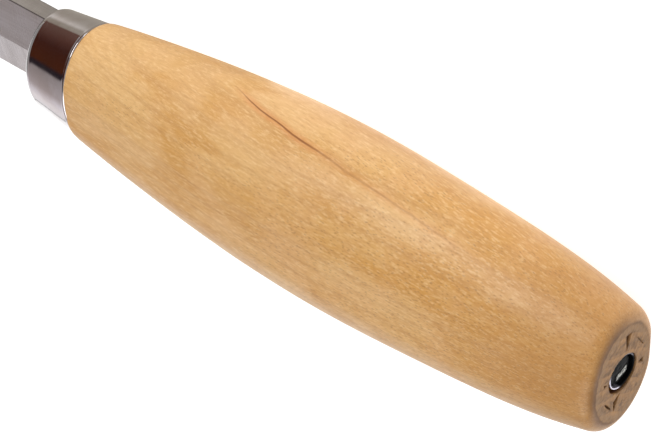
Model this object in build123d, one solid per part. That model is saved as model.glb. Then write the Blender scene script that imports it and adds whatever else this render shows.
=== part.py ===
"""Chip carving knife: stick-tang blade, drawn ferrule, flattened oval handle, riveted butt.

The knife lies on its side. +X runs along the handle's axis from the tip to the butt,
+Y points from the cutting edge to the spine, +Z is up, square to the blade's side.
The origin is under the middle of the knife, on the surface that it lies on.
Each sub-part is first built with its axis on X and the ferrule's seam at X = 0.
"""

import os

from build123d import *

# --- driving dimensions, in mm -------------------------------------------------------

# handle, measured as half heights in the plane of the blade
WOOD_LENGTH = 95.0
SEAM_HALF = 10.3
QUARTER_HALF = 13.5
BELLY_HALF = 14.8
THREE_QUARTER_HALF = 13.5
SHOULDER_HALF = 11.5
SHOULDER_AT = 0.92 * WOOD_LENGTH
BUTT_HALF = 9.6
BUTT_ROUND = 2.4
BUTT_FACING = 0.02
SEAM_SLOPE = 0.16
BUTT_SLOPE = -0.30
WOOD_OVAL_RATIO = 0.75
WOOD_FLAT_RATIO = 0.72

# ferrule: a drawn oval cup, open towards the wood
FERRULE_LENGTH = 9.8
FERRULE_REAR_HALF = 10.15
FERRULE_FRONT_HALF = 8.9
FERRULE_WALL = 0.8
FERRULE_FRONT_ROUND = 1.5
FERRULE_REAR_ROUND = 0.3
FERRULE_BORE_RATIO = 0.70
FERRULE_GAP = 0.15
FERRULE_OVAL_RATIO = 0.725

# blade
BLADE_LENGTH = 55.2
BLADE_THICKNESS = 2.8
SPINE_Y = 8.65
EDGE_Y = -6.4
BEVEL_SHOULDER_Y = 0.2
EDGE_LAND = 0.1
SPINE_STRAIGHT = 21.0
TIP_LAND = 0.4

# tang
TANG_THICKNESS = 2.6
TANG_ROOT_HEIGHT = 9.0
TANG_END_HEIGHT = 2.8
TANG_CLEARANCE = 0.25
TANG_BORE_DIAMETER = 4.6

# riveted end in the butt
SEAT_DIAMETER = 6.0
WASHER_DIAMETER = 5.4
WASHER_INSIDE = 4.6
WASHER_FLOOR = 0.6
WASHER_RIM_DEPTH = 0.15
WASHER_HEIGHT = 1.45
RIVET_DIAMETER = 4.3
RIVET_HEIGHT = 0.6
RIVET_CHAMFER = 0.2

# four cuts that the lathe's drive centre left in the butt
SPUR_ANGLE = -11.0
SPUR_START = 3.2
SPUR_LENGTHS = (3.0, 1.2, 2.4, 1.0)
SPUR_WIDTH = 0.7
SPUR_DEPTH = 0.8

# --- derived places ------------------------------------------------------------------

SHOULDER_X = -FERRULE_LENGTH
TIP_X = SHOULDER_X - BLADE_LENGTH
OVERALL_LENGTH = WOOD_LENGTH - TIP_X
TENON_FRONT_X = SHOULDER_X + FERRULE_WALL
WASHER_RIM_X = WOOD_LENGTH - WASHER_RIM_DEPTH
WASHER_SEAT_X = WASHER_RIM_X - WASHER_HEIGHT
WASHER_FLOOR_X = WASHER_SEAT_X + WASHER_FLOOR
HALF_THICKNESS = BLADE_THICKNESS / 2

YZ_BY_X = Plane(origin=(0, 0, 0), x_dir=(0, 1, 0), z_dir=(1, 0, 0))


# --- helpers -------------------------------------------------------------------------

def oval_turning(outline, ratio):
    """Turn a closed outline in the XY plane about X, then flatten it along Z."""
    turned = revolve(make_face(outline), axis=Axis.X)
    return scale(turned, by=(1, 1, ratio))


def cylinder_along_x(diameter, start, end):
    """A round bar on the X axis from one place to another."""
    disc = YZ_BY_X.offset(start) * Circle(diameter / 2)
    return extrude(disc, amount=end - start)


def tang_shape(clearance):
    """The tapered tang from the blade's shoulders to the washer, grown by a clearance."""
    root = TANG_ROOT_HEIGHT / 2 + clearance
    end = TANG_END_HEIGHT / 2 + clearance
    side = Polyline(
        (SHOULDER_X, -root),
        (WASHER_FLOOR_X, -end),
        (WASHER_FLOOR_X, end),
        (SHOULDER_X, root),
        close=True,
    )
    return extrude(make_face(side), amount=TANG_THICKNESS / 2 + clearance, both=True)


# --- sub-parts -----------------------------------------------------------------------

def make_ferrule_bore():
    """The hollow inside the ferrule, which the handle's tenon fills."""
    wall = FERRULE_WALL
    front = FERRULE_FRONT_HALF - wall
    rear = FERRULE_REAR_HALF - wall
    outline = Polyline(
        (TENON_FRONT_X, 0),
        (TENON_FRONT_X, front),
        (0, rear),
        (0, 0),
        close=True,
    )
    return oval_turning(outline, FERRULE_BORE_RATIO)


def make_ferrule():
    """Drawn metal cup with a rounded front shoulder and a slot for the tang."""
    outline = FilletPolyline(
        (-FERRULE_GAP, 0),
        (-FERRULE_GAP, FERRULE_REAR_HALF),
        (SHOULDER_X, FERRULE_FRONT_HALF),
        (SHOULDER_X, 0),
        radius=(FERRULE_REAR_ROUND, FERRULE_FRONT_ROUND),
    )
    closing = Line((SHOULDER_X, 0), (-FERRULE_GAP, 0))
    cup = oval_turning(outline + closing, FERRULE_OVAL_RATIO)
    return cup - make_ferrule_bore() - tang_shape(0)


def make_spur_cuts():
    """Four short cuts in a cross around the centre of the butt."""
    cuts = []
    for turn, length in enumerate(SPUR_LENGTHS):
        wedge = Box(2 * SPUR_DEPTH, length, SPUR_WIDTH)
        placed = Pos(WOOD_LENGTH, SPUR_START + length / 2, 0) * wedge
        cuts.append(Rot(SPUR_ANGLE + 90 * turn, 0, 0) * placed)
    return cuts


def between_flats(section):
    """A slab as wide as the room between the handle's two slightly flattened sides."""
    upper = extrude(scale(section, by=(1, WOOD_FLAT_RATIO, 1)), amount=2 * BELLY_HALF, both=True)
    slab = upper + mirror(upper, about=Plane.XZ)
    return Rot(90, 0, 0) * slab


def make_handle():
    """Flattened oval barrel with a tenon under the ferrule and a bore and slot for the tang."""
    turned_end = WOOD_LENGTH + BUTT_FACING
    back = Spline(
        (0, SEAM_HALF),
        (0.25 * WOOD_LENGTH, QUARTER_HALF),
        (0.5 * WOOD_LENGTH, BELLY_HALF),
        (0.75 * WOOD_LENGTH, THREE_QUARTER_HALF),
        (SHOULDER_AT, SHOULDER_HALF),
        (turned_end, BUTT_HALF),
        tangents=((1, SEAM_SLOPE), (1, BUTT_SLOPE)),
    )
    ends = Polyline((turned_end, BUTT_HALF), (turned_end, 0), (0, 0), (0, SEAM_HALF))
    section = make_face(back + ends)
    corner = section.vertices().sort_by(Axis.X)[-2:].sort_by(Axis.Y)[-1]
    section = fillet(corner, radius=BUTT_ROUND)
    barrel = scale(revolve(section, axis=Axis.X), by=(1, 1, WOOD_OVAL_RATIO))
    barrel &= between_flats(section)
    barrel &= Pos(WOOD_LENGTH / 2, 0, 0) * Box(WOOD_LENGTH, 4 * BELLY_HALF, 4 * BELLY_HALF)
    handle = barrel + make_ferrule_bore()
    handle -= cylinder_along_x(TANG_BORE_DIAMETER, TENON_FRONT_X - 1, WASHER_SEAT_X)
    handle -= tang_shape(TANG_CLEARANCE)
    handle -= cylinder_along_x(SEAT_DIAMETER, WASHER_SEAT_X, WOOD_LENGTH + 1)
    for cut in make_spur_cuts():
        handle -= cut
    return handle


def make_bevel_waste(side):
    """What the grinder takes off one side of the blade to leave its bevel."""
    edge_z = side * EDGE_LAND / 2
    face_z = side * HALF_THICKNESS
    clear_z = 2 * face_z
    section = Polyline(
        (BEVEL_SHOULDER_Y, face_z),
        (EDGE_Y, edge_z),
        (EDGE_Y - 1, edge_z),
        (EDGE_Y - 1, clear_z),
        (BEVEL_SHOULDER_Y, clear_z),
        close=True,
    )
    face = YZ_BY_X.offset(TIP_X - 1) * make_face(section)
    return extrude(face, amount=BLADE_LENGTH + 1)


def make_blade():
    """Sheepsfoot blade with one bevel each side, in one piece with its riveted tang."""
    bend_x = SHOULDER_X - SPINE_STRAIGHT
    drop = TangentArc((bend_x, SPINE_Y), (TIP_X, EDGE_Y + TIP_LAND), tangent=(-1, 0))
    straight_sides = Polyline(
        (TIP_X, EDGE_Y + TIP_LAND),
        (TIP_X, EDGE_Y),
        (SHOULDER_X, EDGE_Y),
        (SHOULDER_X, SPINE_Y),
        (bend_x, SPINE_Y),
    )
    plate = extrude(make_face(drop + straight_sides), amount=HALF_THICKNESS, both=True)
    ground = plate - make_bevel_waste(1) - make_bevel_waste(-1)
    return ground + tang_shape(0) + make_rivet()


def make_rivet():
    """The tang's end, hammered over into a low head in the washer."""
    top = WASHER_FLOOR_X + RIVET_HEIGHT
    head = cylinder_along_x(RIVET_DIAMETER, WASHER_FLOOR_X, top)
    rim = head.edges().filter_by(GeomType.CIRCLE).group_by(Axis.X)[-1]
    return chamfer(rim, length=RIVET_CHAMFER)


def make_rivet_washer():
    """Thin metal cup let into the butt, which the tang is riveted over."""
    cup = cylinder_along_x(WASHER_DIAMETER, WASHER_SEAT_X, WASHER_RIM_X)
    cup -= cylinder_along_x(WASHER_INSIDE, WASHER_FLOOR_X, WASHER_RIM_X)
    rim = cup.edges().filter_by(GeomType.CIRCLE).group_by(Axis.X)[-1]
    cup = fillet(rim, radius=0.15)
    return cup - tang_shape(0)


def make_tang_bedding():
    """Resin that fills what the tang leaves of its bore and slot."""
    bore = cylinder_along_x(TANG_BORE_DIAMETER, TENON_FRONT_X, WASHER_SEAT_X)
    reach = WASHER_SEAT_X - TENON_FRONT_X
    window = Box(reach, 2 * TANG_ROOT_HEIGHT, TANG_ROOT_HEIGHT)
    slot = tang_shape(TANG_CLEARANCE) & (Pos(TENON_FRONT_X + reach / 2, 0, 0) * window)
    return bore + slot - tang_shape(0)


# --- assembly ------------------------------------------------------------------------

def main():
    parts = {
        "handle": make_handle(),
        "ferrule": make_ferrule(),
        "blade": make_blade(),
        "rivet_washer": make_rivet_washer(),
        "tang_bedding": make_tang_bedding(),
    }
    lift = -parts["handle"].bounding_box().min.Z
    centring = OVERALL_LENGTH / 2 - WOOD_LENGTH
    os.makedirs("parts", exist_ok=True)
    for node, shape in parts.items():
        placed = Pos(centring, 0, lift) * shape
        placed.label = node
        export_step(placed, f"parts/{node}.step")
        box = placed.bounding_box()
        print(node, len(placed.solids()), round(placed.volume, 1), box.min, box.max)


main()
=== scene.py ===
"""Looks of the chip carving knife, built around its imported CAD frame.

Lengths are in metres. +X runs along the handle from tip to butt, +Y from edge to spine,
+Z up from the side that the knife lies on. MM turns millimetres into metres.
"""

import math

import bpy
import numpy as np
from mathutils import Matrix, Vector, noise


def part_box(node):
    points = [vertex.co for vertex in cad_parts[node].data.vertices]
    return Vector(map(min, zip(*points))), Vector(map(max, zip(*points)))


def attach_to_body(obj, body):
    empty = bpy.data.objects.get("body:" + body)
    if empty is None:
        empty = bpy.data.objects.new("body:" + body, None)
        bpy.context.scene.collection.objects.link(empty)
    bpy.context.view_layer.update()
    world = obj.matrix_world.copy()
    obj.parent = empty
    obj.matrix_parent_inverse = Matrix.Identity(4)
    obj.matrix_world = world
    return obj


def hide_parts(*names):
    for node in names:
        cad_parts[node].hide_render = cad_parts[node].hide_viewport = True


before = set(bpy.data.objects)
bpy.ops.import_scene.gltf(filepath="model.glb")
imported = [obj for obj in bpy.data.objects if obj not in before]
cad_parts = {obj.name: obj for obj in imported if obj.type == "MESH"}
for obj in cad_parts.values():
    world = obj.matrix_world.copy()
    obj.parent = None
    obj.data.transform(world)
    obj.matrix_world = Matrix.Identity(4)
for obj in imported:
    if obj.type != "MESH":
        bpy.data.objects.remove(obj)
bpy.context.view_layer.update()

MM = 0.001

# --- places taken from the frame -----------------------------------------------------

handle_low, handle_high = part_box("handle")
ferrule_low, ferrule_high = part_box("ferrule")
blade_low, blade_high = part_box("blade")
washer_low, washer_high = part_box("rivet_washer")

# the wood's seam lies this far behind the ferrule's rolled edge
FERRULE_GAP = 0.15 * MM

AXIS_Z = (blade_low.z + blade_high.z) / 2
BUTT_X = handle_high.x
TENON_X = handle_low.x
FRONT_X = ferrule_low.x
SEAM_X = ferrule_high.x + FERRULE_GAP
TIP_X = blade_low.x
SPINE_Y = blade_high.y
EDGE_Y = blade_low.y
WASHER_RIM_X = washer_high.x
WASHER_SEAT_X = washer_low.x
WOOD_LENGTH = BUTT_X - SEAM_X

# --- shape of the handle -------------------------------------------------------------

WOOD_RATIO = 0.75
FLAT_RATIO = 0.72
FLAT_EASE = 0.1 * MM
STATIONS = np.array([0.0, 0.25, 0.5, 0.75, 0.92, 1.0])
HALF_HEIGHTS = np.array([10.3, 13.5, 14.8, 13.5, 11.5, 9.6]) * MM
SEAM_SLOPE = 0.16
BUTT_SLOPE = -0.30
BUTT_ROUND = 2.4 * MM
SEAM_ROUND = 0.25 * MM
SEAT_RADIUS = 3.0 * MM
BORE_RADIUS = 2.3 * MM

# --- ferrule, blade, tang and riveted end --------------------------------------------

FERRULE_REAR_HALF = 10.15 * MM
FERRULE_FRONT_HALF = 8.9 * MM
FERRULE_WALL = 0.8 * MM
FERRULE_REAR_ROUND = 0.34 * MM
FERRULE_FRONT_ROUND = 1.6 * MM
FERRULE_RATIO = 0.725
FERRULE_BORE_RATIO = 0.70
HALF_THICKNESS = 1.4 * MM
BEVEL_SHOULDER_Y = 0.2 * MM
EDGE_HALF = 0.04 * MM
TIP_LAND = 0.4 * MM
SPINE_STRAIGHT = 21.0 * MM
BLADE_IN_FERRULE = 0.9 * MM
STEEL_EASE = 0.09 * MM
TANG_HALF_THICKNESS = 1.3 * MM
TANG_ROOT_HALF = 4.5 * MM
TANG_END_HALF = 1.4 * MM
TANG_CLEARANCE = 0.25 * MM
WASHER_FLOOR = 0.6 * MM
WASHER_WALL = 0.28 * MM
WASHER_HOLE_RADIUS = 1.5 * MM
WASHER_FLOOR_X = WASHER_SEAT_X + WASHER_FLOOR
HEAD_RADIUS = 2.15 * MM
# the washer sits a little off the middle of its seat
WASHER_SHIFT = Vector((0, 0.18, -0.18)) * MM
# the worn facet of the riveted end, in mm from the washer's middle, and its slope
FACET_ASIDE = 0.65
FACET_LEAN = 0.22


# --- colours and figures of the materials --------------------------------------------

def colour(red, green, blue):
    """Scene-linear colour from the 0 to 255 values that a colour picker shows."""
    linear = []
    for value in (red, green, blue):
        share = value / 255
        if share <= 0.04045:
            linear.append(share / 12.92)
        else:
            linear.append(((share + 0.055) / 1.055) ** 2.4)
    return (*linear, 1.0)


BIRCH_PALE = colour(220, 174, 112)
BIRCH_DEEP = colour(204, 150, 77)
BIRCH_ROSE = colour(218, 168, 112)
BIRCH_GOLD = colour(200, 142, 62)
BIRCH_RING = colour(184, 134, 78)
BIRCH_FIBRE = colour(184, 130, 70)
BIRCH_LIGHT = colour(234, 197, 144)
# painted shade: the side's brown towards the butt
PAINTED_BUTT_SHADE = colour(164, 110, 48)
BIRCH_PORE = colour(140, 98, 56)
BIRCH_STREAK = colour(128, 66, 24)
BIRCH_GLOW = colour(206, 130, 66)
END_DARK = colour(102, 70, 36)
END_PALE = colour(158, 116, 68)
END_BAND = colour(142, 108, 70)
# painted shade for the crease round the butt's face
PAINTED_CREASE_SHADE = colour(96, 58, 18)
# painted shade for the drive centre's cuts and the cracks
PAINTED_PIT_SHADE = colour(70, 32, 10)
NICKEL = colour(204, 200, 202)
NICKEL_WARM = colour(190, 182, 180)
NICKEL_SPOT = colour(150, 145, 142)
STEEL = colour(186, 183, 184)
STEEL_WARM = colour(172, 166, 163)
STEEL_DARK = colour(146, 141, 139)
# painted shade for the line along the spine's corners
PAINTED_SPINE_SHADE = colour(58, 48, 46)
BURNISHED = colour(9, 9, 10)
WORN_STEEL = colour(178, 178, 172)
# painted highlight on the washer's rim, from bright to dim
PAINTED_RIM_HIGHLIGHT = colour(214, 210, 224)
PAINTED_RIM_HIGHLIGHT_DIM = colour(160, 154, 164)
RESIN = colour(14, 13, 13)
RESIN_DUSTY = colour(30, 27, 25)

# millimetres, but for the grain's slant, which is a slope
GRAIN_SLANT = 0.10
PITH_BELOW = 34.0
PITH_ASIDE = 9.0
RING_SPACING = 2.3
STREAK_START = 28.5
STREAK_RUN = 13.8
STREAK_SWING = 4.8
STREAK_END_Z = 4.8


def spline_slopes(places, values, first, last):
    """Slopes of the smooth cubic through some places, with given slopes at its ends."""
    count = len(places)
    matrix = np.zeros((count, count))
    right = np.zeros(count)
    matrix[0, 0] = matrix[-1, -1] = 1.0
    right[0], right[-1] = first, last
    for i in range(1, count - 1):
        before = places[i] - places[i - 1]
        after = places[i + 1] - places[i]
        matrix[i, i - 1] = after
        matrix[i, i] = 2 * (before + after)
        matrix[i, i + 1] = before
        rise_before = (values[i] - values[i - 1]) / before
        rise_after = (values[i + 1] - values[i]) / after
        right[i] = 3 * (after * rise_before + before * rise_after)
    return np.linalg.solve(matrix, right)


PLACES = STATIONS * WOOD_LENGTH
SLOPES = spline_slopes(PLACES, HALF_HEIGHTS, SEAM_SLOPE, BUTT_SLOPE)


def half_height(place):
    """Half height of the oval, in the blade's plane, at a distance from the seam."""
    i = int(np.clip(np.searchsorted(PLACES, place) - 1, 0, len(PLACES) - 2))
    step = PLACES[i + 1] - PLACES[i]
    t = (place - PLACES[i]) / step
    return (
        (1 + 2 * t) * (1 - t) ** 2 * HALF_HEIGHTS[i]
        + t * (1 - t) ** 2 * step * SLOPES[i]
        + t * t * (3 - 2 * t) * HALF_HEIGHTS[i + 1]
        - t * t * (1 - t) * step * SLOPES[i + 1]
    )


# --- mesh helpers --------------------------------------------------------------------

def new_object(name, vertices, faces, material, smooth=True):
    mesh = bpy.data.meshes.new(name)
    mesh.from_pydata([tuple(v) for v in vertices], [], faces)
    mesh.materials.append(material)
    mesh.validate()
    for polygon in mesh.polygons:
        polygon.use_smooth = smooth
    piece = bpy.data.objects.new(name, mesh)
    bpy.context.scene.collection.objects.link(piece)
    return piece


def ring_faces(rings, around, closed):
    """Quads between neighbouring rings of points, and back to the first if closed."""
    faces = []
    spans = rings if closed else rings - 1
    for ring in range(spans):
        here = ring * around
        there = (ring + 1) % rings * around
        for i in range(around):
            j = (i + 1) % around
            faces.append((here + i, here + j, there + j, there + i))
    return faces


def skin(name, rings, material, flip=False):
    """A closed surface over a run of rings of points, back to the first."""
    points = [point for ring in rings for point in ring]
    faces = ring_faces(len(rings), len(rings[0]), closed=True)
    if flip:
        faces = [tuple(reversed(face)) for face in faces]
    return new_object(name, points, faces, material)


def attach(piece, nodes):
    """The piece rides on the knife and stands for its CAD nodes, which are hidden."""
    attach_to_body(piece, "root")
    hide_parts(*nodes)
    return piece


def smooth_step(low, high, value):
    t = min(1.0, max(0.0, (value - low) / (high - low)))
    return t * t * (3 - 2 * t)


# --- handle --------------------------------------------------------------------------

AROUND = 480
SEAM_STEPS = 4
BARREL_STEPS = 230
BUTT_STEPS = 14
FACE_STEPS = 44
SEAT_STEPS = 8
PASSAGE_STEPS = 24


def polar_ring(place, reach_at, count=AROUND):
    """A ring of points round the axis, at the distance that reach_at gives for an angle."""
    ring = []
    for i in range(count):
        angle = 2 * math.pi * i / count
        reach = reach_at(angle)
        ring.append(Vector((place, reach * math.cos(angle), AXIS_Z + reach * math.sin(angle))))
    return ring


def oval(place, half, ratio):
    """A ring of points round the axis, flattened along Z."""
    ring = []
    for i in range(AROUND):
        angle = 2 * math.pi * i / AROUND
        ring.append(
            Vector((place, half * math.cos(angle), AXIS_Z + ratio * half * math.sin(angle)))
        )
    return ring


def barrel_oval(place, half):
    """A ring of the wood: an oval whose broad sides are a little flattened."""
    ring = oval(place, half, WOOD_RATIO)
    flat = FLAT_RATIO * half
    for point in ring:
        off = point.z - AXIS_Z
        eased = abs(off) - FLAT_EASE * math.log1p(math.exp((abs(off) - flat) / FLAT_EASE))
        point.z = AXIS_Z + math.copysign(max(eased, 0.0), off)
    return ring


def slot_radius(angle, half_high, half_wide):
    """Distance from the axis to the side of an upright rectangle, at an angle."""
    across = abs(math.cos(angle)) / half_high
    along = abs(math.sin(angle)) / half_wide
    return 1.0 / max(across, along, 1e-9)


def tang_half(place):
    """Half height of the tapered tang at a place on the axis."""
    t = (place - FRONT_X) / (WASHER_SEAT_X - FRONT_X)
    return TANG_ROOT_HALF + (TANG_END_HALF - TANG_ROOT_HALF) * t


def tang_ring(place, half_high):
    """The tang's outline, as a ring round the axis."""
    return polar_ring(place, lambda angle: slot_radius(angle, half_high, TANG_HALF_THICKNESS))


def passage(place):
    """The round bore with the tang's slot through it."""
    half_high = tang_half(place) + TANG_CLEARANCE
    half_wide = TANG_HALF_THICKNESS + TANG_CLEARANCE
    return polar_ring(
        place, lambda angle: max(BORE_RADIUS, slot_radius(angle, half_high, half_wide))
    )


def towards(first, last, count):
    """Rings spaced evenly from one ring to another, without the first."""
    rings = []
    for step in range(1, count):
        t = step / count
        rings.append([a.lerp(b, t) for a, b in zip(first, last)])
    return rings + [last]


def triangle_depth(y, z, corners):
    """0 outside a triangle, rising to 1 well inside it."""
    (ay, az), (by, bz), (cy, cz) = corners
    area = (by - ay) * (cz - az) - (cy - ay) * (bz - az)
    u = ((by - y) * (cz - z) - (cy - y) * (bz - z)) / area
    v = ((cy - y) * (az - z) - (ay - y) * (cz - z)) / area
    w = 1 - u - v
    return smooth_step(0.0, 0.22, min(u, v, w))


def crack_depth(y, z, start, end, width):
    """0 away from a hairline crack, 1 on its line."""
    dy, dz = end[0] - start[0], end[1] - start[1]
    length = math.hypot(dy, dz)
    t = ((y - start[0]) * dy + (z - start[1]) * dz) / length**2
    t_in = min(1.0, max(0.0, t))
    off = math.hypot(y - start[0] - t_in * dy, z - start[1] - t_in * dz)
    taper = 0.35 + 0.65 * math.sin(math.pi * t_in)
    return 1 - smooth_step(0.2, 1.0, off / (width * taper))


# cuts of the lathe's drive centre: corners as (Y, Z) in mm from the axis
SPUR_CUTS = (
    (((6.3, -1.65), (6.35, -0.35), (3.3, -0.6)), 1.0),
    (((-0.25, -4.5), (-1.35, -4.5), (-0.65, -3.3)), 0.8),
    (((-3.0, 0.2), (-3.9, 1.75), (-5.9, 1.7)), 1.0),
    (((0.3, 4.0), (1.0, 4.1), (0.6, 3.3)), 0.4),
)
# hairline cracks: start, end, width and depth in mm
CRACKS = (
    ((4.5, -2.8), (2.1, -4.3), 0.13, 0.25),
    ((-2.9, 3.6), (-4.7, 2.4), 0.22, 0.45),
)


def butt_sink(point):
    """How far the butt's face lies below its plane, at a point of the face."""
    y = point.y / MM
    z = (point.z - AXIS_Z) / MM
    sink = 0.0
    for corners, depth in SPUR_CUTS:
        sink = max(sink, depth * triangle_depth(y, z, corners))
    for start, end, width, depth in CRACKS:
        sink = max(sink, depth * crack_depth(y, z, start, end, width))
    grain = noise.noise(Vector((y * 2.2, z * 2.2, 3.0)))
    fine = noise.noise(Vector((y * 7.0, z * 7.0, 9.0)))
    return (sink + 0.025 * grain + 0.012 * fine) * MM


def barrel_wander(point):
    """Slight unevenness left by hand sanding, along the surface's own normal."""
    slow = noise.noise(Vector((point.x / MM / 16, point.y / MM / 8, point.z / MM / 8)))
    quick = noise.noise(Vector((point.x / MM / 5, point.y / MM / 2.5, point.z / MM / 2.5)))
    return (0.05 * slow + 0.012 * quick) * MM


def handle_rings():
    """Closed run of rings: barrel, butt, washer seat, tang passage, tenon, seam."""
    rings = []
    for step in range(SEAM_STEPS + 1):
        turn = math.pi / 2 * step / SEAM_STEPS
        rings.append(
            barrel_oval(
                SEAM_X + SEAM_ROUND * (1 - math.cos(turn)),
                HALF_HEIGHTS[0] - SEAM_ROUND * (1 - math.sin(turn)),
            )
        )
    # the butt's rounding is a circle that touches the barrel and the butt's plane
    touch = WOOD_LENGTH - BUTT_ROUND
    for _ in range(8):
        slope = (half_height(touch + 1e-5) - half_height(touch - 1e-5)) / 2e-5
        lean = math.atan(-slope)
        touch = WOOD_LENGTH - BUTT_ROUND * (1 - math.sin(lean))
    centre = half_height(touch) - BUTT_ROUND * math.cos(lean)
    for step in range(1, BARREL_STEPS):
        place = SEAM_ROUND + (touch - SEAM_ROUND) * step / BARREL_STEPS
        rings.append(barrel_oval(SEAM_X + place, half_height(place)))
    for step in range(BUTT_STEPS + 1):
        turn = lean + (math.pi / 2 - lean) * step / BUTT_STEPS
        rings.append(
            barrel_oval(
                BUTT_X - BUTT_ROUND * (1 - math.sin(turn)),
                centre + BUTT_ROUND * math.cos(turn),
            )
        )
    rings = [[sanded(point) for point in ring] for ring in rings]
    face = towards(barrel_oval(BUTT_X, centre), hole_ring(BUTT_X), FACE_STEPS)
    for ring in face:
        for point in ring:
            point.x -= butt_sink(point)
    rings += face
    rings += towards(rings[-1], hole_ring(WASHER_SEAT_X), SEAT_STEPS)
    rings += towards(rings[-1], passage(WASHER_SEAT_X), 3)
    for step in range(1, PASSAGE_STEPS):
        place = WASHER_SEAT_X + (TENON_X - WASHER_SEAT_X) * step / PASSAGE_STEPS
        rings.append(passage(place))
    rings.append(passage(TENON_X))
    tenon_front = oval(TENON_X, FERRULE_FRONT_HALF - FERRULE_WALL, FERRULE_BORE_RATIO)
    tenon_rear = oval(SEAM_X, FERRULE_REAR_HALF - FERRULE_WALL, FERRULE_BORE_RATIO)
    rings += towards(rings[-1], tenon_front, 4)
    rings += towards(tenon_front, tenon_rear, 8)
    return rings


def sanded(point):
    """A point of the barrel moved in or out by the sanding's unevenness."""
    outward = Vector((0, point.y, (point.z - AXIS_Z) / WOOD_RATIO**2)).normalized()
    fade = smooth_step(0, 4 * MM, point.x - SEAM_X)
    return point + outward * barrel_wander(point) * fade


def hole_ring(place):
    """The bored seat for the washer, with its worn and chipped edge."""
    def worn_edge(angle):
        around = Vector((math.cos(angle), math.sin(angle), 0.0))
        ragged = 0.06 * noise.noise(around * 3.0) + 0.03 * noise.noise(around * 11.0)
        return SEAT_RADIUS + ragged * MM

    return polar_ring(place, worn_edge)


def make_handle(material):
    piece = skin("birch_handle", handle_rings(), material)
    return attach(piece, ["handle"])


# --- ferrule -------------------------------------------------------------------------

def make_ferrule(material):
    """Drawn cup: rolled rear edge, tapered side, rounded shoulder, slotted front."""
    rear_x = ferrule_high.x
    rings = []
    for step in range(6, -1, -1):
        turn = math.pi / 2 * step / 6
        rings.append(
            oval(
                rear_x - FERRULE_REAR_ROUND * (1 - math.sin(turn)),
                FERRULE_REAR_HALF - FERRULE_REAR_ROUND * (1 - math.cos(turn)),
                FERRULE_RATIO,
            )
        )
    slope = (FERRULE_REAR_HALF - FERRULE_FRONT_HALF) / (rear_x - FRONT_X)
    side_start = rear_x - FERRULE_REAR_ROUND
    side_end = FRONT_X + FERRULE_FRONT_ROUND
    for step in range(1, 36):
        place = side_start + (side_end - side_start) * step / 36
        rings.append(
            oval(place, FERRULE_REAR_HALF - slope * (rear_x - place), FERRULE_RATIO)
        )
    shoulder_half = FERRULE_REAR_HALF - slope * (rear_x - side_end)
    for step in range(17):
        turn = math.pi / 2 * step / 16
        rings.append(
            oval(
                side_end - FERRULE_FRONT_ROUND * math.sin(turn),
                shoulder_half - FERRULE_FRONT_ROUND * (1 - math.cos(turn)),
                FERRULE_RATIO,
            )
        )
    inner_front_x = FRONT_X + FERRULE_WALL
    slot_in = tang_ring(inner_front_x, TANG_ROOT_HALF)
    cup_front = oval(inner_front_x, FERRULE_FRONT_HALF - FERRULE_WALL, FERRULE_BORE_RATIO)
    cup_rear = oval(rear_x, FERRULE_REAR_HALF - FERRULE_WALL, FERRULE_BORE_RATIO)
    rings += towards(rings[-1], tang_ring(FRONT_X, TANG_ROOT_HALF), 5)
    rings.append(slot_in)
    rings += towards(slot_in, cup_front, 3)
    rings += towards(cup_front, cup_rear, 6)
    piece = skin("nickel_ferrule", rings, material, flip=True)
    return attach(piece, ["ferrule"])


# --- blade ---------------------------------------------------------------------------

def spine_height(place):
    """Height of the spine: straight behind, then an arc down to the tip."""
    bend = FRONT_X - SPINE_STRAIGHT
    if place >= bend:
        return SPINE_Y
    run = bend - TIP_X
    drop = SPINE_Y - EDGE_Y - TIP_LAND
    radius = (run**2 + drop**2) / (2 * drop)
    return SPINE_Y - radius + math.sqrt(radius**2 - (bend - place) ** 2)


def half_thickness_at(y):
    """Half thickness of the blade at a height: the bevel, then the flat side."""
    t = (y - EDGE_Y) / (BEVEL_SHOULDER_Y - EDGE_Y)
    return min(HALF_THICKNESS, EDGE_HALF + (HALF_THICKNESS - EDGE_HALF) * t)


def blade_section(place):
    """Outline of the blade's section, from the edge over one side to the other."""
    top = spine_height(place)
    shoulder = min(BEVEL_SHOULDER_Y, top - 0.02 * MM)
    heights = [EDGE_Y, shoulder, top]
    near = [(place, y, AXIS_Z + half_thickness_at(y)) for y in heights]
    far = [(place, y, AXIS_Z - half_thickness_at(y)) for y in reversed(heights)]
    return near + far


def apply_modifiers(piece):
    """Replace the piece's mesh by what its modifiers make of it."""
    graph = bpy.context.evaluated_depsgraph_get()
    finished = bpy.data.meshes.new_from_object(piece.evaluated_get(graph))
    piece.modifiers.clear()
    piece.data = finished
    return piece


def prism_between(name, sections, material):
    """A closed solid through a run of outlines with the same number of points."""
    around = len(sections[0])
    points = [point for section in sections for point in section]
    faces = ring_faces(len(sections), around, closed=False)
    faces.append(tuple(range(around)))
    last = (len(sections) - 1) * around
    faces.append(tuple(last + i for i in reversed(range(around))))
    faces = [tuple(reversed(face)) for face in faces]
    return new_object(name, points, faces, material, smooth=False)


def tang_section(place):
    half = tang_half(place)
    corners = [(-half, 1), (half, 1), (half, -1), (-half, -1)]
    return [(place, y, AXIS_Z + side * TANG_HALF_THICKNESS) for y, side in corners]


def make_blade(material):
    """Ground blade, its edges eased by a fine bevel."""
    bend = FRONT_X - SPINE_STRAIGHT
    places = []
    for step in range(41):
        turn = math.pi / 2 * step / 40
        places.append(TIP_X + (bend - TIP_X) * (1 - math.cos(turn)))
    places.append(FRONT_X + BLADE_IN_FERRULE)
    piece = prism_between("ground_blade", [blade_section(p) for p in places], material)
    ease_edges(piece)
    return attach(piece, ["blade"])


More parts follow.
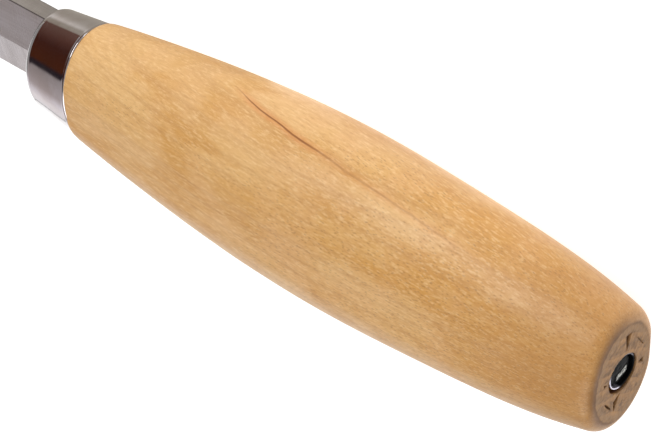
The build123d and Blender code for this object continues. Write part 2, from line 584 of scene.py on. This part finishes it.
def make_tang(material):
    """The tang behind the blade's shoulders, hidden in the handle up to its riveted end."""
    start = FRONT_X - 0.5 * MM
    rivet_start = WASHER_SEAT_X + 0.3 * MM
    count = 12
    places = [start + (rivet_start - start) * step / count for step in range(count + 1)]
    piece = prism_between("tang", [tang_section(p) for p in places], material)
    ease_edges(piece)
    return attach(piece, ["blade"])


def ease_edges(piece):
    """Take the sharpness off a steel piece's edges with a fine bevel."""
    ease = piece.modifiers.new("ease", "BEVEL")
    ease.width = STEEL_EASE
    ease.segments = 3
    ease.limit_method = "ANGLE"
    ease.angle_limit = math.radians(9)
    ease.harden_normals = True
    apply_modifiers(piece)


# --- riveted end ---------------------------------------------------------------------

HEAD_RING = 96
WASHER_RING = 160


def washer_ring(place, reach, count):
    """A round ring of points about the washer's middle."""
    return [point + WASHER_SHIFT for point in polar_ring(place, lambda angle: reach, count)]


def hammered(point):
    """Height of the hammered head above its plain disc, in metres."""
    y = (point.y - WASHER_SHIFT.y) / MM
    z = (point.z - AXIS_Z - WASHER_SHIFT.z) / MM
    reach = math.hypot(y, z) / (HEAD_RADIUS / MM)
    dome = 0.16 * (1 - reach**2)
    along = z + 0.15 * y + 0.3
    across = y + FACET_ASIDE + FACET_LEAN * z
    bar = (1 - smooth_step(0.42, 0.6, abs(across))) * (1 - smooth_step(1.15, 1.4, abs(along)))
    blows = 0.05 * noise.noise(Vector((y * 1.6, z * 1.6, 5.0)))
    fine = 0.02 * noise.noise(Vector((y * 6.0, z * 6.0, 2.0)))
    return (dome + 0.10 * bar + blows + fine * (0.3 + bar)) * MM


def make_rivet_head(material):
    """The tang's end, spread over the washer's floor by hammering."""
    side_x = WASHER_FLOOR_X + 0.38 * MM
    rings = []
    steps = 26
    for step in range(steps + 1):
        reach = HEAD_RADIUS * (1 - step / steps) * 0.999 + 0.001 * MM
        rings.append(washer_ring(side_x, reach, HEAD_RING))
    for ring in rings:
        for point in ring:
            point.x += hammered(point)
    for point in rings[0]:
        point.x -= 0.10 * MM
    rings.insert(0, washer_ring(WASHER_FLOOR_X, HEAD_RADIUS, HEAD_RING))
    points = [point for ring in rings for point in ring]
    faces = ring_faces(len(rings), HEAD_RING, closed=False)
    last = (len(rings) - 1) * HEAD_RING
    faces.append(tuple(last + i for i in range(HEAD_RING)))
    faces.append(tuple(reversed(range(HEAD_RING))))
    piece = new_object("rivet_head", points, faces, material)
    return attach(piece, ["blade"])


def make_rivet_washer(material):
    """Thin drawn cup with a rolled rim, let into the butt."""
    outer = (washer_high.y - washer_low.y) / 2
    inner = outer - WASHER_WALL
    rim_round = (outer - inner) / 2
    profile = [(WASHER_SEAT_X, outer)]
    for step in range(9):
        turn = math.pi * step / 8
        profile.append(
            (
                WASHER_RIM_X - rim_round + rim_round * math.sin(turn),
                outer - rim_round * (1 - math.cos(turn)),
            )
        )
    profile += [(WASHER_FLOOR_X + 0.1 * MM, inner), (WASHER_FLOOR_X, inner - 0.1 * MM)]
    profile += [(WASHER_FLOOR_X, WASHER_HOLE_RADIUS), (WASHER_SEAT_X, WASHER_HOLE_RADIUS)]
    rings = [washer_ring(place, reach, WASHER_RING) for place, reach in profile]
    piece = skin("rivet_washer_ring", rings, material)
    return attach(piece, ["rivet_washer"])


def make_bedding(material):
    """Resin between the tang and its passage through the wood."""
    outside, inside = [], []
    for step in range(PASSAGE_STEPS + 1):
        place = TENON_X + (WASHER_SEAT_X - TENON_X) * step / PASSAGE_STEPS
        outside.append(passage(place))
        inside.append(tang_ring(place, tang_half(place)))
    inside.reverse()
    piece = skin("tang_resin", outside + inside, material)
    return attach(piece, ["tang_bedding"])


# --- material helpers ----------------------------------------------------------------

class Shader:
    """A small builder for one material's nodes."""

    def __init__(self, name):
        self.material = bpy.data.materials.new(name)
        self.material.use_nodes = True
        self.tree = self.material.node_tree
        self.surface = self.tree.nodes["Principled BSDF"]
        self.place = self.add("ShaderNodeTexCoord").outputs["Object"]

    def add(self, kind, **settings):
        node = self.tree.nodes.new(kind)
        for key, value in settings.items():
            setattr(node, key, value)
        return node

    def feed(self, socket, value):
        """Link an output to a socket, or set the socket's own value."""
        if isinstance(value, bpy.types.NodeSocket):
            self.tree.links.new(value, socket)
        else:
            socket.default_value = value

    def give(self, name, value):
        """Feed one of the surface's inputs."""
        self.feed(self.surface.inputs[name], value)

    def math(self, operation, *values):
        node = self.add("ShaderNodeMath", operation=operation)
        for socket, value in zip(node.inputs, values):
            self.feed(socket, value)
        return node.outputs[0]

    def product(self, first, *others):
        for other in others:
            first = self.math("MULTIPLY", first, other)
        return first

    def hypotenuse(self, first, second):
        squares = self.math("ADD", self.product(first, first), self.product(second, second))
        return self.math("SQRT", squares)

    def mapped(self, vector, scale, shift=(0.0, 0.0, 0.0), turn=(0.0, 0.0, 0.0)):
        node = self.add("ShaderNodeMapping")
        self.feed(node.inputs["Vector"], vector)
        node.inputs["Scale"].default_value = scale
        node.inputs["Location"].default_value = shift
        node.inputs["Rotation"].default_value = turn
        return node.outputs["Vector"]

    def moved(self, scale, **settings):
        """Object coordinates in millimetres, times a scale per axis."""
        return self.mapped(self.place, [value / MM for value in scale], **settings)

    def noise(self, vector, detail=2.0, roughness=0.5):
        node = self.add("ShaderNodeTexNoise")
        self.feed(node.inputs["Vector"], vector)
        node.inputs["Scale"].default_value = 1.0
        node.inputs["Detail"].default_value = detail
        node.inputs["Roughness"].default_value = roughness
        return node.outputs["Fac"]

    def cells(self, vector):
        """Distance to the nearest of some scattered points."""
        node = self.add("ShaderNodeTexVoronoi", feature="F1")
        self.feed(node.inputs["Vector"], vector)
        node.inputs["Scale"].default_value = 1.0
        return node.outputs["Distance"]

    def ranged(self, value, low, high, out_low=0.0, out_high=1.0):
        """A soft step from one value to another, as the input goes from low to high."""
        node = self.add("ShaderNodeMapRange", interpolation_type="SMOOTHSTEP")
        self.feed(node.inputs["Value"], value)
        node.inputs["From Min"].default_value = low
        node.inputs["From Max"].default_value = high
        node.inputs["To Min"].default_value = out_low
        node.inputs["To Max"].default_value = out_high
        return node.outputs["Result"]

    def mix(self, share, first, second):
        node = self.add("ShaderNodeMix", data_type="RGBA")
        sockets = {socket.identifier: socket for socket in node.inputs}
        self.feed(sockets["Factor_Float"], share)
        self.feed(sockets["A_Color"], first)
        self.feed(sockets["B_Color"], second)
        results = {socket.identifier: socket for socket in node.outputs}
        return results["Result_Color"]

    def split(self, vector):
        node = self.add("ShaderNodeSeparateXYZ")
        self.feed(node.inputs[0], vector)
        return node.outputs["X"], node.outputs["Y"], node.outputs["Z"]

    def join(self, x, y, z):
        node = self.add("ShaderNodeCombineXYZ")
        for socket, value in zip(node.inputs, (x, y, z)):
            self.feed(socket, value)
        return node.outputs[0]

    def bump(self, height, distance, strength, below=None):
        node = self.add("ShaderNodeBump")
        node.inputs["Strength"].default_value = strength
        node.inputs["Distance"].default_value = distance
        self.feed(node.inputs["Height"], height)
        if below is not None:
            self.feed(node.inputs["Normal"], below)
        return node.outputs["Normal"]


# --- materials -----------------------------------------------------------------------

def birch():
    """Oiled birch: faint growth rings, fibres, curl, pores, a mineral streak, end grain, and
    painted light and shade.
    """
    shader = Shader("oiled_birch")
    ranged, mix, product = shader.ranged, shader.mix, shader.product
    x, y, z = shader.split(shader.moved((1, 1, 1), shift=(0.0, 0.0, -AXIS_Z / MM)))
    along = shader.math("SUBTRACT", x, SEAM_X / MM)

    # the grain leaves the handle's axis by a few degrees
    slanted = shader.math("SUBTRACT", z, product(along, GRAIN_SLANT))
    fibre_place = shader.join(along, y, slanted)

    def stretched(length, width, **settings):
        """Noise with lumps of a length along the grain and a width across it, in mm."""
        vector = shader.mapped(fibre_place, (1 / length, 1 / width, 1 / width))
        return shader.noise(vector, **settings)

    # growth rings about a pith outside the handle
    off_y = shader.math("ADD", y, PITH_BELOW)
    off_z = shader.math("SUBTRACT", slanted, PITH_ASIDE)
    reach = shader.hypotenuse(off_y, off_z)
    wander = stretched(60, 9)
    ring_place = shader.math("MULTIPLY_ADD", wander, 3.2, reach)
    ring_phase = shader.math("FRACT", shader.math("DIVIDE", ring_place, RING_SPACING))
    ring = product(ranged(ring_phase, 0.45, 0.93), ranged(ring_phase, 0.93, 1.0, 1.0, 0.0))

    # figure of the wood, from the broadest to the finest
    broad = stretched(34, 7.5, detail=3.0, roughness=0.55)
    curl = shader.noise(
        shader.moved((0.16, 0.09, 0.09), turn=(0.0, 0.0, 0.5), shift=(3.0, 1.0, 0.0)),
        detail=3.0, roughness=0.6,
    )
    patch = shader.noise(
        shader.moved((0.055, 0.13, 0.13), turn=(0.0, 0.3, -0.2), shift=(5.0, 2.0, 8.0)),
        detail=3.0, roughness=0.6,
    )
    fibre = stretched(8, 0.75, detail=4.0, roughness=0.7)
    hair = stretched(1.5, 0.28, detail=3.0, roughness=0.75)
    tone = mix(ranged(broad, 0.33, 0.67), BIRCH_DEEP, BIRCH_PALE)
    tone = mix(ranged(curl, 0.38, 0.66, 0.0, 0.6), tone, BIRCH_ROSE)
    tone = mix(ranged(patch, 0.48, 0.66, 0.0, 0.62), tone, BIRCH_GOLD)
    tone = mix(product(ring, 0.30), tone, BIRCH_RING)
    tone = mix(ranged(fibre, 0.42, 0.74, 0.0, 0.42), tone, BIRCH_FIBRE)
    tone = mix(ranged(hair, 0.48, 0.70, 0.0, 0.62), tone, BIRCH_LIGHT)
    tone = mix(ranged(hair, 0.28, 0.47, 0.55, 0.0), tone, BIRCH_FIBRE)

    # painted light towards the ferrule and painted shade towards the butt: paler at the front,
    # browner at the back
    painted_front_light = product(ranged(along, 20, 80, 0.20, 0.0), ranged(patch, 0.4, 0.66, 1.0, 0.3))
    tone = mix(painted_front_light, tone, BIRCH_LIGHT)
    tone = mix(ranged(along, 70, 95, 0.0, 0.5), tone, PAINTED_BUTT_SHADE)

    # short open pores, thicker on the ground towards the butt
    pore = shader.cells(shader.mapped(fibre_place, (1 / 0.95, 1 / 0.28, 1 / 0.28)))
    crowd = shader.noise(shader.moved((0.05, 0.11, 0.11), shift=(7.0, 0.0, 2.0)))
    crowd = shader.math("ADD", crowd, ranged(along, 20, 80, -0.1, 0.12))
    pore = product(ranged(pore, 0.12, 0.34, 1.0, 0.0), ranged(crowd, 0.34, 0.62))
    tone = mix(product(pore, 0.5), tone, BIRCH_PORE)

    # mineral streak: a thin brown line with a faint glow, across the back of the handle
    bend = shader.math("MULTIPLY_ADD", along, -1 / STREAK_RUN, STREAK_START / STREAK_RUN)
    path = shader.math("MULTIPLY_ADD", shader.math("EXPONENT", bend), -STREAK_SWING, STREAK_END_Z)
    wobble = shader.math("MULTIPLY_ADD", stretched(5, 5), 0.6, -0.3)
    off_path = shader.math("SUBTRACT", z, shader.math("ADD", path, wobble))
    apart = shader.math("ABSOLUTE", off_path)
    width = ranged(along, STREAK_START, STREAK_START + 14, 0.08, 0.14)
    line = ranged(shader.math("DIVIDE", apart, width), 0.3, 1.5, 1.0, 0.0)
    strength = product(
        ranged(along, STREAK_START - 1, STREAK_START + 6),
        ranged(along, STREAK_START + 15, STREAK_START + 22, 1.0, 0.34),
        ranged(along, STREAK_START + 34, STREAK_START + 52, 1.0, 0.0),
        ranged(y, 5, 9),
    )
    glow = product(ranged(apart, 0.1, 1.1, 1.0, 0.0), strength)
    tone = mix(product(glow, 0.45), tone, BIRCH_GLOW)
    tone = mix(product(line, strength, 0.8), tone, BIRCH_STREAK)

    # end grain: the butt drinks more oil and shows brown, out to an oval like the wood's
    from_butt = shader.math("SUBTRACT", BUTT_X / MM, x)
    ragged = shader.math("MULTIPLY_ADD", stretched(1.5, 1.5, detail=3.0), 0.5, -0.25)
    off_axis = shader.hypotenuse(y, product(z, 1 / FLAT_RATIO))
    off_axis = shader.math("ADD", off_axis, ragged)
    at_butt = ranged(from_butt, 0.7, 1.2, 1.0, 0.0)
    end = product(ranged(off_axis, 7.9, 8.6, 1.0, 0.0), at_butt)
    end_noise = shader.noise(shader.moved((0.5, 0.9, 0.9)), detail=4.0, roughness=0.65)
    end_tone = mix(ranged(end_noise, 0.3, 0.7), END_DARK, END_PALE)
    end_dots = shader.cells(shader.moved((2.0, 4.2, 4.2)))
    end_tone = mix(ranged(end_dots, 0.1, 0.35, 0.4, 0.0), end_tone, BIRCH_PORE)
    end_tone = mix(product(ring, 0.35), end_tone, BIRCH_RING)
    band = product(ranged(off_axis, 6.4, 7.1), ranged(off_axis, 7.5, 8.0, 1.0, 0.0))
    end_tone = mix(product(band, 0.6), end_tone, END_BAND)
    tone = mix(end, tone, end_tone)

    # painted shade round the butt's face, where the rounding turns into the face; weaker towards
    # the edge and the underside
    crease_shade = product(
        ranged(off_axis, 7.7, 8.05),
        ranged(off_axis, 8.2, 10.0, 1.0, 0.0),
        ranged(from_butt, 0.8, 2.6, 1.0, 0.0),
        ranged(z, -3.0, 2.0, 0.3, 1.0),
        ranged(y, -9.5, -6.0, 0.3, 1.0),
    )
    tone = mix(product(crease_shade, 0.8), tone, PAINTED_CREASE_SHADE)

    # painted shade in the drive centre's cuts and the cracks
    pit_shade = product(
        ranged(from_butt, 0.12, 0.55), end, ranged(off_axis, 6.9, 7.4, 1.0, 0.0)
    )
    tone = mix(product(pit_shade, 0.92), tone, PAINTED_PIT_SHADE)

    gloss = ranged(fibre, 0.3, 0.7, 0.40, 0.50)
    shader.give("Base Color", tone)
    shader.give("Roughness", shader.math("MULTIPLY_ADD", end, 0.15, gloss))
    shader.give("Specular IOR Level", 0.42)
    shader.give("Coat Weight", 0.08)
    shader.give("Coat Roughness", 0.32)
    relief = shader.math("MULTIPLY_ADD", fibre, 0.5, product(hair, 0.3))
    relief = shader.math("MULTIPLY_ADD", pore, -0.6, relief)
    shader.give("Normal", shader.bump(relief, 0.03 * MM, 0.55))
    return shader.material


def polished_nickel():
    """Ferrule: bright plating with faint draw lines and hazy handling marks."""
    shader = Shader("polished_nickel")
    lines = shader.noise(shader.moved((3.5, 0.10, 0.10)), detail=3.0)
    haze = shader.noise(shader.moved((0.18, 0.18, 0.18)), detail=4.0, roughness=0.6)
    spots = shader.cells(shader.moved((0.9, 0.9, 0.9)))
    tone = shader.mix(shader.ranged(haze, 0.35, 0.7), NICKEL, NICKEL_WARM)
    tone = shader.mix(shader.ranged(spots, 0.03, 0.09, 0.25, 0.0), tone, NICKEL_SPOT)
    shader.give("Base Color", tone)
    shader.give("Metallic", 1.0)
    shader.give("Roughness", shader.ranged(haze, 0.3, 0.75, 0.06, 0.12))
    normal = shader.bump(lines, 0.004 * MM, 0.35)
    shader.give("Normal", shader.bump(haze, 0.05 * MM, 0.25, below=normal))
    return shader.material


def ground_steel():
    """Blade: grinding lines across the bevel and along the flats, a painted shade line along the
    spine's corners.
    """
    shader = Shader("ground_steel")
    _, y, z = shader.split(shader.moved((1, 1, 1)))
    across = shader.noise(shader.moved((7.0, 0.22, 0.22)), detail=5.0, roughness=0.7)
    coarse = shader.noise(shader.moved((1.1, 0.05, 0.05)), detail=3.0)
    along = shader.noise(shader.moved((0.12, 5.0, 5.0)), detail=4.0, roughness=0.65)
    haze = shader.noise(shader.moved((0.09, 0.12, 0.12)), detail=4.0, roughness=0.6)
    shoulder = BEVEL_SHOULDER_Y / MM
    on_bevel = shader.ranged(y, shoulder - 0.05, shoulder + 0.05, 1.0, 0.0)
    grain = shader.mix(on_bevel, along, across)
    tone = shader.mix(shader.ranged(haze, 0.3, 0.7), STEEL, STEEL_WARM)
    tone = shader.mix(shader.ranged(grain, 0.35, 0.7, 0.0, 0.35), tone, STEEL_DARK)
    side = shader.math("ABSOLUTE", shader.math("SUBTRACT", z, AXIS_Z / MM))
    # painted shade: a dark line along the corners between the spine and the flat sides
    corner = shader.product(
        shader.ranged(y, SPINE_Y / MM - 0.26, SPINE_Y / MM - 0.16),
        shader.ranged(side, 1.28, 1.36),
    )
    tone = shader.mix(shader.product(corner, 0.75), tone, PAINTED_SPINE_SHADE)
    rough = shader.ranged(coarse, 0.3, 0.7, 0.24, 0.33)
    shader.give("Base Color", tone)
    shader.give("Metallic", 1.0)
    shader.give("Roughness", shader.math("MULTIPLY_ADD", on_bevel, -0.04, rough))
    shader.give("Anisotropic", 0.4)
    shader.give("Normal", shader.bump(grain, 0.006 * MM, 0.5))
    return shader.material


def from_washer(shader):
    """Place in mm from the washer's middle, as Y and Z."""
    middle = (0, -WASHER_SHIFT.y / MM, -(AXIS_Z + WASHER_SHIFT.z) / MM)
    _, y, z = shader.split(shader.moved((1, 1, 1), shift=middle))
    return y, z


def hammered_steel():
    """Riveted end: burnished black round a bright worn facet."""
    shader = Shader("hammered_steel")
    y, z = from_washer(shader)
    across = shader.math("MULTIPLY_ADD", z, FACET_LEAN, shader.math("ADD", y, FACET_ASIDE))
    length = shader.math("ABSOLUTE", shader.math("ADD", z, 0.2))
    worn = shader.noise(shader.moved((2.2, 2.6, 2.6)), detail=4.0, roughness=0.7)
    facet = shader.product(
        shader.ranged(shader.math("ABSOLUTE", across), 0.38, 0.55, 1.0, 0.0),
        shader.ranged(length, 0.9, 1.2, 1.0, 0.0),
        shader.ranged(worn, 0.36, 0.56),
    )
    shader.give("Base Color", shader.mix(facet, BURNISHED, WORN_STEEL))
    shader.give("Metallic", facet)
    shader.give("Specular IOR Level", 0.04)
    shader.give("Roughness", shader.ranged(facet, 0.0, 1.0, 0.30, 0.45))
    shader.give("Normal", shader.bump(worn, 0.05 * MM, 0.4))
    return shader.material


def worn_washer():
    """Washer: burnished black steel, its rim given painted highlights in two arcs."""
    shader = Shader("washer_steel")
    y, z = from_washer(shader)
    rub = shader.noise(shader.moved((1.6, 1.6, 1.6)), detail=4.0, roughness=0.65)
    lip = shader.ranged(shader.hypotenuse(y, z), 2.40, 2.47)
    near_highlight = shader.ranged(shader.math("MULTIPLY_ADD", y, -0.3, z), 0.9, 1.6)
    near_highlight = shader.product(near_highlight, shader.ranged(y, -0.2, 1.3, 1.0, 0.0))
    far_side = shader.math("MULTIPLY_ADD", y, 0.85, shader.product(z, -0.55))
    far_highlight = shader.ranged(far_side, 2.1, 2.4, 0.0, 0.3)
    highlight_arcs = shader.math("MAXIMUM", near_highlight, far_highlight)
    # painted highlight: the rim is bright metal only along these arcs, burnished black elsewhere
    worn = shader.product(highlight_arcs, lip, shader.ranged(rub, 0.26, 0.42))
    rim_highlight_tone = shader.mix(shader.ranged(rub, 0.45, 0.7), PAINTED_RIM_HIGHLIGHT, PAINTED_RIM_HIGHLIGHT_DIM)
    shader.give("Base Color", shader.mix(worn, BURNISHED, rim_highlight_tone))
    shader.give("Metallic", worn)
    shader.give("Specular IOR Level", 0.04)
    shader.give("Roughness", shader.ranged(rub, 0.3, 0.7, 0.22, 0.36))
    shader.give("Normal", shader.bump(rub, 0.02 * MM, 0.4))
    return shader.material


def black_resin():
    """Bedding: black resin, glossy where it set free and dull where it touched wood."""
    shader = Shader("black_resin")
    flow = shader.noise(shader.moved((0.25, 0.8, 0.8)), detail=4.0, roughness=0.6)
    shader.give("Base Color", shader.mix(shader.ranged(flow, 0.3, 0.7), RESIN, RESIN_DUSTY))
    shader.give("Roughness", shader.ranged(flow, 0.3, 0.7, 0.15, 0.45))
    shader.give("Normal", shader.bump(flow, 0.05 * MM, 0.5))
    return shader.material


# --- stage, light and camera ---------------------------------------------------------

CARD_GREY = (0.44, 0.40, 0.34)
CARD_DARK = (0.070, 0.020, 0.013)
CARD_DUSK = (0.17, 0.09, 0.07)
CARD_INK = (0.030, 0.022, 0.028)
# the arch's tones: degrees from the spine's side, over the top, to the edge's side
ARCH_TONES = (
    (-2, CARD_DUSK),
    (8, CARD_DUSK),
    (30, (0.13, 0.055, 0.040)),
    (55, CARD_DARK),
    (96, (0.085, 0.024, 0.010)),
    (102, CARD_INK),
    (108, CARD_INK),
    (112, (0.40, 0.36, 0.36)),
    (141, (0.58, 0.52, 0.52)),
    (155, (0.95, 0.90, 0.94)),
    (164, (1.12, 1.07, 1.08)),
    (177, (1.05, 1.02, 1.04)),
)
ARCH_COLUMNS = 9
ARCH_RADIUS = 300 * MM
ARCH_BACK = -450 * MM
ARCH_FRONT = -30 * MM
# soft glow on the floor card: strength, place in mm from the ferrule's front, and width
SPINE_GLOW = 0.42
SPINE_GLOW_AT = (-25.2, 23)
SPINE_GLOW_WIDTH = (16, 9)
FLOOR_HALF = 1.5
FLOOR_GLOW = 0.82
WORLD_STRENGTH = 0.40
LAMP_TARGET = Vector((0.0, 0.0, 0.01))
CAMERA_RISE = 41.9
CAMERA_SWING = 46.4
CAMERA_ROLL = -3.3
CAMERA_DISTANCE = 319.3 * MM
CAMERA_AIM_ALONG = 45.2 * MM
CAMERA_AIM_ASIDE = -0.48 * MM
CAMERA_AIM_UP = -0.85 * MM
CAMERA_LENS = 127.4


def make_floor():
    """Plain white table, large enough to fill every view."""
    material = bpy.data.materials.new("white_table")
    material.use_nodes = True
    surface = material.node_tree.nodes["Principled BSDF"]
    surface.inputs["Base Color"].default_value = (0.55, 0.55, 0.55, 1.0)
    surface.inputs["Roughness"].default_value = 0.9
    surface.inputs["Specular IOR Level"].default_value = 0.1
    surface.inputs["Emission Color"].default_value = (1.0, 1.0, 1.0, 1.0)
    surface.inputs["Emission Strength"].default_value = FLOOR_GLOW
    sides = ((-1, -1), (1, -1), (1, 1), (-1, 1))
    corners = [(FLOOR_HALF * x, FLOOR_HALF * y, 0) for x, y in sides]
    floor = new_object("white_table", corners, [(0, 1, 2, 3)], material)


def make_light(name, place, size, power):
    """A square lamp that faces the knife."""
    lamp = bpy.data.lights.new(name, "AREA")
    lamp.size = size
    lamp.energy = power
    light = bpy.data.objects.new(name, lamp)
    light.location = place
    light.rotation_euler = (LAMP_TARGET - Vector(place)).to_track_quat("-Z", "Y").to_euler()
    bpy.context.scene.collection.objects.link(light)


def glossy_only(card):
    """Show a studio card to reflections alone."""
    card.visible_camera = False
    card.visible_diffuse = False
    card.visible_shadow = False
    card.visible_transmission = False


def make_card_material():
    """Light of the studio cards, as bright as each corner's tone."""
    material = bpy.data.materials.new("studio_card")
    material.use_nodes = True
    tree = material.node_tree
    tree.nodes.remove(tree.nodes["Principled BSDF"])
    tone = tree.nodes.new("ShaderNodeVertexColor")
    tone.layer_name = "tone"
    glow = tree.nodes.new("ShaderNodeEmission")
    tree.links.new(tone.outputs["Color"], glow.inputs["Color"])
    tree.links.new(glow.outputs[0], tree.nodes["Material Output"].inputs["Surface"])
    return material


def paint(card, tones):
    """Give each corner of a card its own tone."""
    layer = card.data.color_attributes.new("tone", "FLOAT_COLOR", "POINT")
    for spot, tone in zip(layer.data, tones):
        spot.color = (*tone, 1.0)


def make_card(name, grid, columns, material):
    """A studio card from a grid of points, given row by row as (point, tone)."""
    faces = []
    for corner in range(columns, len(grid)):
        if corner % columns:
            faces.append((corner - columns - 1, corner - columns, corner, corner - 1))
    card = new_object(name, [point for point, _ in grid], faces, material)
    paint(card, [tone for _, tone in grid])
    glossy_only(card)


def make_arched_card(material):
    """An arch over the knife: dusky behind the spine, dark overhead, pale by the edge."""
    grid = []
    for degrees, tone in ARCH_TONES:
        turn = math.radians(degrees)
        y = ARCH_RADIUS * math.cos(turn)
        z = AXIS_Z + ARCH_RADIUS * math.sin(turn)
        for column in range(ARCH_COLUMNS):
            x = ARCH_BACK + (ARCH_FRONT - ARCH_BACK) * column / (ARCH_COLUMNS - 1)
            grid.append(((x, y, z), tone))
    make_card("arched_card", grid, ARCH_COLUMNS, material)


def make_floor_card(material):
    """Grey sheet behind the ferrule: paler where the spine mirrors it, dusky far off."""
    xs = [-425.2, -175.2, -65.2] + [-55.2 + 4 * step for step in range(24)]
    ys = [-10] + [4 * step for step in range(16)] + [90, 200, 450]
    grid = []
    for y in ys:
        far = smooth_step(64, 200, y)
        for x in xs:
            away_x = (x - SPINE_GLOW_AT[0]) / SPINE_GLOW_WIDTH[0]
            away_y = (y - SPINE_GLOW_AT[1]) / SPINE_GLOW_WIDTH[1]
            glow = SPINE_GLOW * math.exp(-(away_x**2) - away_y**2)
            tone = [
                level + (dusk - level) * far + glow for level, dusk in zip(CARD_GREY, CARD_DUSK)
            ]
            grid.append(((FRONT_X + x * MM, y * MM, 0.4 * MM), tone))
    make_card("floor_card", grid, len(xs), material)


def make_world():
    world = bpy.data.worlds.new("studio")
    world.use_nodes = True
    background = world.node_tree.nodes["Background"]
    background.inputs["Color"].default_value = (1.0, 1.0, 1.0, 1.0)
    background.inputs["Strength"].default_value = WORLD_STRENGTH
    bpy.context.scene.world = world


def make_camera():
    """The photograph's view: above the butt and the spine, with the spine uppermost."""
    aim = Vector((SEAM_X + CAMERA_AIM_ALONG, 0.0, AXIS_Z))
    rise = math.radians(CAMERA_RISE)
    swing = math.radians(CAMERA_SWING)
    back = Vector(
        (math.cos(rise) * math.cos(swing), math.sin(rise), math.cos(rise) * math.sin(swing))
    )
    right = Vector((0, 1, 0)).cross(back).normalized()
    up = back.cross(right)
    aim += right * CAMERA_AIM_ASIDE + up * CAMERA_AIM_UP
    turn = Matrix((right, up, back)).transposed().to_4x4()
    lens = bpy.data.cameras.new("photo_view")
    lens.lens = CAMERA_LENS
    lens.sensor_width = 36.0
    lens.clip_start = 0.01
    camera = bpy.data.objects.new("photo_view", lens)
    roll = Matrix.Rotation(math.radians(CAMERA_ROLL), 4, "Z")
    camera.matrix_world = Matrix.Translation(aim + back * CAMERA_DISTANCE) @ turn @ roll
    bpy.context.scene.collection.objects.link(camera)
    bpy.context.scene.camera = camera


make_handle(birch())
make_ferrule(polished_nickel())
steel = ground_steel()
make_blade(steel)
make_tang(steel)
make_rivet_head(hammered_steel())
make_rivet_washer(worn_washer())
make_bedding(black_resin())
make_floor()
make_world()
make_light("key", (-0.15, 0.60, 0.55), size=0.5, power=4.05)
make_light("fill", (0.35, -0.5, 0.6), size=0.6, power=2.3)
card_material = make_card_material()
make_arched_card(card_material)
make_floor_card(card_material)
make_camera()

scene = bpy.context.scene
scene.view_settings.view_transform = "Standard"
bpy.context.view_layer.update()
